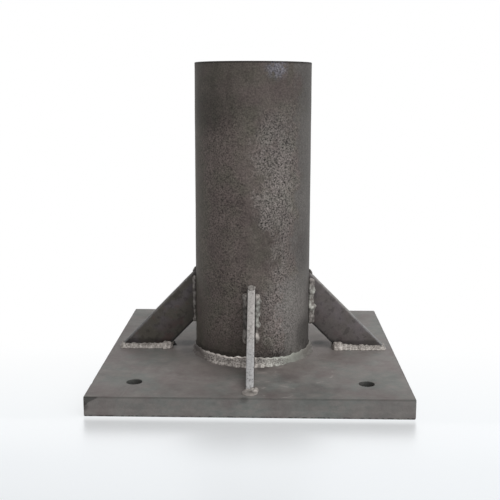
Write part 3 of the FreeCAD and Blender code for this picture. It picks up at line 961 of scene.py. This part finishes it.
def skin_weld(name, node, tree, values, material):
    """Piece for one weld: its own bead passed through the weld skin tree and made a plain mesh."""
    mesh = frame["nodes"][node].data.copy()
    bead = bmesh.new()
    bead.from_mesh(mesh)
    bmesh.ops.remove_doubles(bead, verts=bead.verts, dist=BEAD_MERGE_GAP)
    bead.to_mesh(mesh)
    bead.free()
    source = add_object(name + "_bead", mesh)
    modifier = source.modifiers.new("weld_skin", "NODES")
    modifier.node_group = tree
    named = {item.name: item.identifier for item in tree.interface.items_tree if item.in_out == "INPUT"}
    for label, value in values.items():
        modifier[named[label]] = value
    modifier[named["Finish"]] = material
    evaluated = source.evaluated_get(bpy.context.evaluated_depsgraph_get())
    skin = bpy.data.meshes.new_from_object(evaluated)
    skin.name = name
    source.modifiers.clear()
    bpy.data.objects.remove(source)
    return finish_piece(name, skin, material, [node], smooth=0)


# Operators


class BASEPLATE_OT_plate(bpy.types.Operator):
    """Adds the square plate with its four anchor holes"""

    bl_idname = "baseplate.plate"
    bl_label = "Square Plate"

    def execute(self, context):
        mesh = make_plate_mesh(context.scene.base_plate_settings)
        finish_piece("steel_plate", mesh, make_plate_steel(), ["base_plate"])
        return {"FINISHED"}


class BASEPLATE_OT_post(bpy.types.Operator):
    """Adds the upright stub of round tube"""

    bl_idname = "baseplate.post"
    bl_label = "Post Tube"

    def execute(self, context):
        mesh = make_post_mesh(context.scene.base_post_settings)
        finish_piece("post_pipe", mesh, make_post_steel(), ["post_tube"])
        return {"FINISHED"}


class BASEPLATE_OT_gussets(bpy.types.Operator):
    """Adds the four gussets of flat bar"""

    bl_idname = "baseplate.gussets"
    bl_label = "Gussets"

    def execute(self, context):
        settings = context.scene.base_gusset_settings
        for side in GUSSET_TURNS:
            mesh = make_bar_mesh(side, settings)
            finish_piece(f"bar_{side}", mesh, make_bar_steel(side), [f"gusset_{side}"])
        return {"FINISHED"}


class BASEPLATE_OT_welds(bpy.types.Operator):
    """Adds every weld: the ring, the uprights, the foot runs, the tips and the toes"""

    bl_idname = "baseplate.welds"
    bl_label = "Welds"

    def execute(self, context):
        settings = context.scene.base_weld_settings
        materials = {kind: make_weld_metal(kind) for kind in WELD_KINDS}
        tree = make_weld_tree()
        step = settings.mesh_step * 1
        for seed, node in enumerate(sorted(n for n in frame["nodes"] if "weld" in n)):
            kind = node.split("_")[0]
            grain_size, grain_height, crumbs, sink, rounding, *_ = WELD_KINDS[kind]
            values = {
                "Mesh Step": step,
                "Swell": settings.swell,
                "Grain Size": settings.grain_size * grain_size,
                "Grain Height": settings.grain_height * grain_height,
                "Crumbs": crumbs,
                "Sink": sink * MM,
                "Rounding": rounding,
                "Seed": float(seed),
            }
            if kind == "foot":
                values["Inner Rise"] = settings.inner_rise
            if kind == "ring":
                values["Rough From"] = settings.rough_from
                values["Rough To"] = settings.rough_to
            skin_weld(node.replace("weld", "bead"), node, tree, values, materials[kind])
        return {"FINISHED"}


# Stage

CAMERA_PLACE = Vector((0.01324, -0.72552, 0.24951))
CAMERA_YAW = -0.0216
CAMERA_DIP = 0.1496
CAMERA_ROLL = -0.0023
FOCAL_PIXELS = 824.75
PICTURE_PIXELS = 500
CENTRE_ROW = 212
KEY_PLACE = (1.05, -1.15, 1.35)
KEY_AIM = (0, 0, 0.1)
KEY_SIDE = 3.0
FLOOR_HALF = 3
FLOOR_MIDDLE = 270  # how far in front of the tube the floor's own colour shows, in millimetres
FLOOR_FADE = 310  # how far from there the floor has turned white
WHITE = (1.0, 1.0, 1.0)
COLD_WHITE = (0.95, 0.98, 1.0)


def add_camera():
    """Camera at the height, distance and tilt of the picture."""
    data = bpy.data.cameras.new("camera")
    data.sensor_width = 36
    data.lens = FOCAL_PIXELS / PICTURE_PIXELS * data.sensor_width
    data.shift_y = (CENTRE_ROW - PICTURE_PIXELS / 2) / PICTURE_PIXELS
    camera = add_object("camera", data)
    forward = ray(QUARTER - CAMERA_YAW) * math.cos(CAMERA_DIP) - UP * math.sin(CAMERA_DIP)
    right = ray(-CAMERA_YAW)
    up = right.cross(forward)
    rolled_right = right * math.cos(CAMERA_ROLL) - up * math.sin(CAMERA_ROLL)
    rolled_up = right * math.sin(CAMERA_ROLL) + up * math.cos(CAMERA_ROLL)
    turned = Matrix((rolled_right, rolled_up, -forward)).transposed()
    camera.matrix_world = Matrix.Translation(CAMERA_PLACE) @ turned.to_4x4()
    bpy.context.scene.camera = camera


def add_lamp(name, power, side, place, aim):
    """Large square lamp aimed at a point."""
    data = bpy.data.lights.new(name, "AREA")
    data.shape = "SQUARE"
    data.size = side
    data.energy = power
    lamp = add_object(name, data)
    lamp.location = place
    lamp.visible_camera = False
    lamp.rotation_euler = (Vector(aim) - Vector(place)).to_track_quat("-Z", "Y").to_euler()


def seen_share(graph):
    """1 for rays that show the background: from the camera, in a mirror or through glass."""
    path = graph.node("ShaderNodeLightPath", {}, {})
    camera, glossy, clear = (
        Wire(graph, path.outputs[f"Is {kind} Ray"]) for kind in ("Camera", "Glossy", "Transmission"))
    return camera.upper(glossy).upper(clear)


def make_floor_material(settings):
    """Pale floor, polished in front of the plate, that runs out into white."""
    material, graph, surface, place = start_material("pale_floor")
    surface.inputs["Base Color"].default_value = (*settings.floor_colour, 1)
    surface.inputs["Roughness"].default_value = 0.3
    surface.inputs["Specular IOR Level"].default_value = 0.4
    half = PLATE_HALF / MM
    x, y, _ = place.parts()
    outside = abs(x).upper(abs(y)).fade(half - 3, half)
    beside = abs(x).fade(190, 430)
    away = abs(y + FLOOR_MIDDLE)
    far = ((away * (1 / FLOOR_FADE)) ** 0.4).upper(beside).lower(1) * outside
    pale = graph.blend(away.fade(10, 370).upper(beside), COLD_WHITE, WHITE)
    white = graph.node("ShaderNodeEmission", {}, {"Color": pale, "Strength": 1.0})
    mirror = graph.node("ShaderNodeBsdfGlossy", {}, {"Color": (0.97, 0.985, 1.0), "Roughness": 0.32})
    # The polish shows from the plate's front to about 90 mm before it
    shine = y.fade(-126, -138) * y.fade(-215, -140) * 0.42
    plain = graph.node("ShaderNodeMixShader", {}, {0: far * seen_share(graph)})
    mixed = graph.node("ShaderNodeMixShader", {}, {0: shine})
    output = material.node_tree.nodes["Material Output"]
    for source, target in (
            (surface, plain.inputs[1]), (white, plain.inputs[2]), (plain, mixed.inputs[1]),
            (mirror, mixed.inputs[2]), (mixed, output.inputs["Surface"])):
        graph.tree.links.new(source.outputs[0], target)
    return material


def add_world(settings):
    """Even soft light, which shows as plain white behind the object."""
    world = bpy.data.worlds.new("soft_white")
    world.use_nodes = True
    graph = Graph(world.node_tree)
    strength = settings.soft_light + seen_share(graph) * (1 - settings.soft_light)
    back = world.node_tree.nodes["Background"]
    back.inputs["Color"].default_value = (*WHITE, 1)
    world.node_tree.links.new(strength.socket, back.inputs["Strength"])
    bpy.context.scene.world = world


class BASEPLATE_OT_stage(bpy.types.Operator):
    """Adds the floor, the lamp, the white surroundings and the camera"""

    bl_idname = "baseplate.stage"
    bl_label = "Stage"

    def execute(self, context):
        settings = context.scene.base_stage_settings
        corners = [(sx * FLOOR_HALF, sy * FLOOR_HALF, 0) for sx, sy in ((-1, -1), (1, -1), (1, 1), (-1, 1))]
        mesh = bpy.data.meshes.new("floor")
        mesh.from_pydata(corners, [], [(0, 1, 2, 3)])
        mesh.materials.append(make_floor_material(settings))
        floor = add_object("floor", mesh)
        add_lamp("key_lamp", settings.key_power, KEY_SIDE, KEY_PLACE, KEY_AIM)
        add_world(settings)
        add_camera()
        context.scene.view_settings.view_transform = "Standard"
        return {"FINISHED"}


class BASEPLATE_PT_panel(bpy.types.Panel):
    """Buttons and settings for the base plate"""

    bl_idname = "BASEPLATE_PT_panel"
    bl_label = "Base Plate"
    bl_space_type = "VIEW_3D"
    bl_region_type = "UI"
    bl_category = "Base Plate"

    def draw(self, context):
        layout = self.layout
        for operator in OPERATORS:
            layout.operator(operator.bl_idname)
        for name in SETTINGS:
            box = layout.box()
            group = getattr(context.scene, name)
            for key in group.bl_rna.properties.keys():
                if key not in ("rna_type", "name"):
                    box.prop(group, key)


SETTINGS = {
    "base_plate_settings": PlateSettings,
    "base_post_settings": PostSettings,
    "base_gusset_settings": GussetSettings,
    "base_weld_settings": WeldSettings,
    "base_stage_settings": StageSettings,
}
OPERATORS = (
    BASEPLATE_OT_stage,
    BASEPLATE_OT_plate,
    BASEPLATE_OT_post,
    BASEPLATE_OT_gussets,
    BASEPLATE_OT_welds,
)
CLASSES = (*SETTINGS.values(), *OPERATORS, BASEPLATE_PT_panel)


def register():
    for item in CLASSES:
        bpy.utils.register_class(item)
    for name, group in SETTINGS.items():
        setattr(bpy.types.Scene, name, bpy.props.PointerProperty(type=group))


def unregister():
    for name in SETTINGS:
        delattr(bpy.types.Scene, name)
    for item in reversed(CLASSES):
        bpy.utils.unregister_class(item)


def main():
    """Builds the stage and every piece in order."""
    register()
    for operator in OPERATORS:
        group, action = operator.bl_idname.split(".")
        getattr(getattr(bpy.ops, group), action)()


if __name__ == "__main__":
    main()
